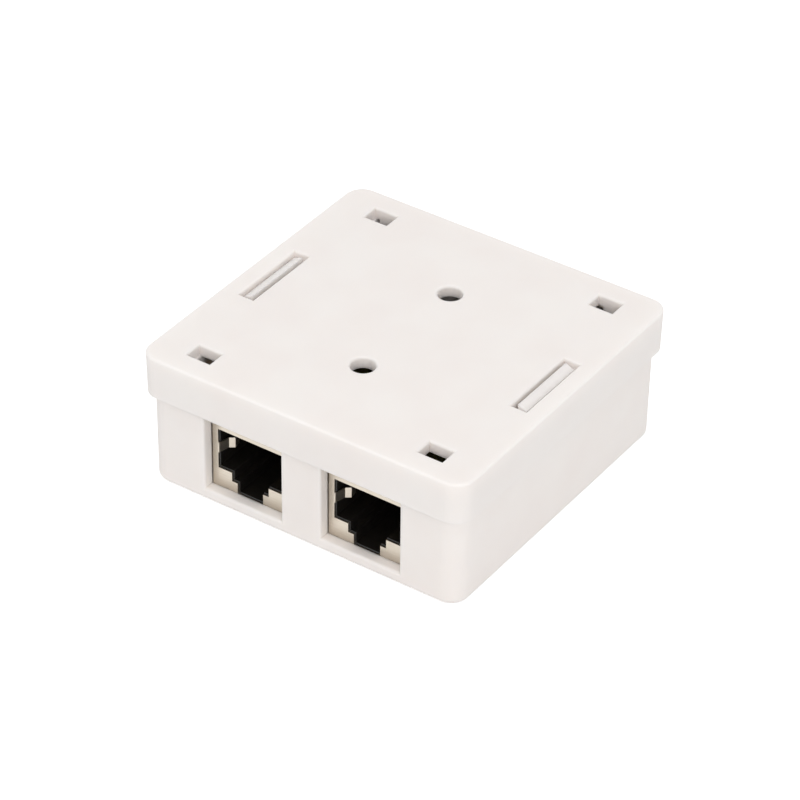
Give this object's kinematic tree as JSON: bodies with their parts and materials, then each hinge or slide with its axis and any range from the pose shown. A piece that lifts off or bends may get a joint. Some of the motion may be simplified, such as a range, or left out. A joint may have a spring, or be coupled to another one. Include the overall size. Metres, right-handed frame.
{
  "type": "surface mount jack box",
  "caption": "Surface mount box with recessed shielded modular jacks, a cover that clips on, punch-down terminals and screw holes in its mounting plate.",
  "frame": {"origin": "middle of the footprint, on the cover's outer face, which the box lies on", "axes": "+X along the port face, left to right seen from the ports; +Y from the ports to the back; +Z from the cover's outer face to the mounting face"},
  "size_m": [0.059, 0.058, 0.0235],
  "materials": {
    "case_white": "fine matt moulded ABS",
    "shield_tin": "tinned sheet",
    "housing_black": "black moulded",
    "contact_gold": "gold-plated springs",
    "board_green": "olive green solder mask",
    "terminal_white": "moulded",
    "terminal_silver": "silver-plated blades",
    "clamp_steel": "zinc-plated"
  },
  "bodies": {
    "cover": {"cover": "case_white"},
    "base": {"base": "case_white", "circuit_board": "board_green", "clamp_screws": "clamp_steel", "jack_shield_left": "shield_tin", "jack_housing_left": "housing_black", "contact_carrier_left": "housing_black", "jack_contacts_left": "contact_gold", "screen_clamp_left": "clamp_steel", "terminal_block_left_inner": "terminal_white", "terminal_contacts_left_inner": "terminal_silver", "terminal_block_left_outer": "terminal_white", "terminal_contacts_left_outer": "terminal_silver", "jack_shield_right": "shield_tin", "jack_housing_right": "housing_black", "contact_carrier_right": "housing_black", "jack_contacts_right": "contact_gold", "screen_clamp_right": "clamp_steel", "terminal_block_right_inner": "terminal_white", "terminal_contacts_right_inner": "terminal_silver", "terminal_block_right_outer": "terminal_white", "terminal_contacts_right_outer": "terminal_silver"}
  },
  "joints": [
    {"name": "base_lift", "type": "slide", "parent": "cover", "child": "base", "axis": [0, 0, 1], "range_m": [0, 0.024]}
  ]
}
